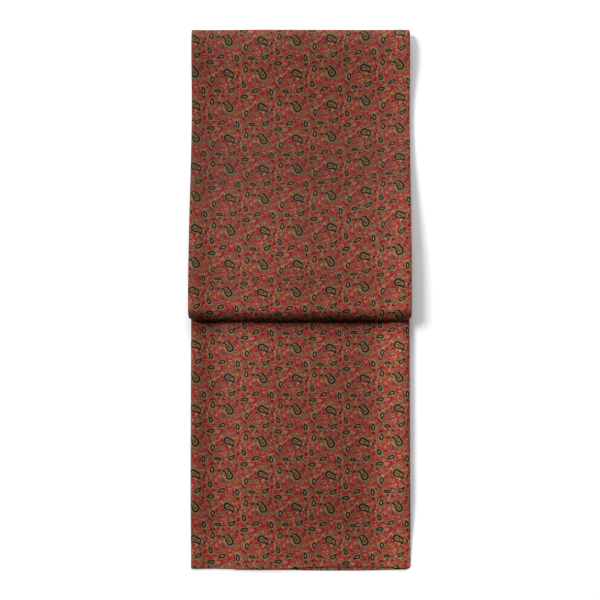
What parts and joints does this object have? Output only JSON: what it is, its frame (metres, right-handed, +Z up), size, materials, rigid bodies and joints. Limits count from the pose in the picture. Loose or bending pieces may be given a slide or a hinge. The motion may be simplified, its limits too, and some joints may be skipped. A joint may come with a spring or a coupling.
{
  "type": "silk neck scarf",
  "caption": "Long silk neck scarf with a small paisley print, folded flat to a narrow strip and pleated across its middle into a soft roll.",
  "frame": {"origin": "middle of the folded scarf's width and length, on the surface it lies on", "axes": "+X across the folded scarf, towards its long fold; +Y from the open ends towards the top fold; +Z up"},
  "size_m": [0.1514, 0.3705, 0.0148],
  "materials": {
    "printed_silk": "printed silk twill with a soft low sheen"
  },
  "bodies": {
    "root": {"upper_run": "printed_silk", "lower_run_top": "printed_silk", "lower_run_under": "printed_silk", "hidden_layers": "printed_silk"}
  },
  "joints": []
}
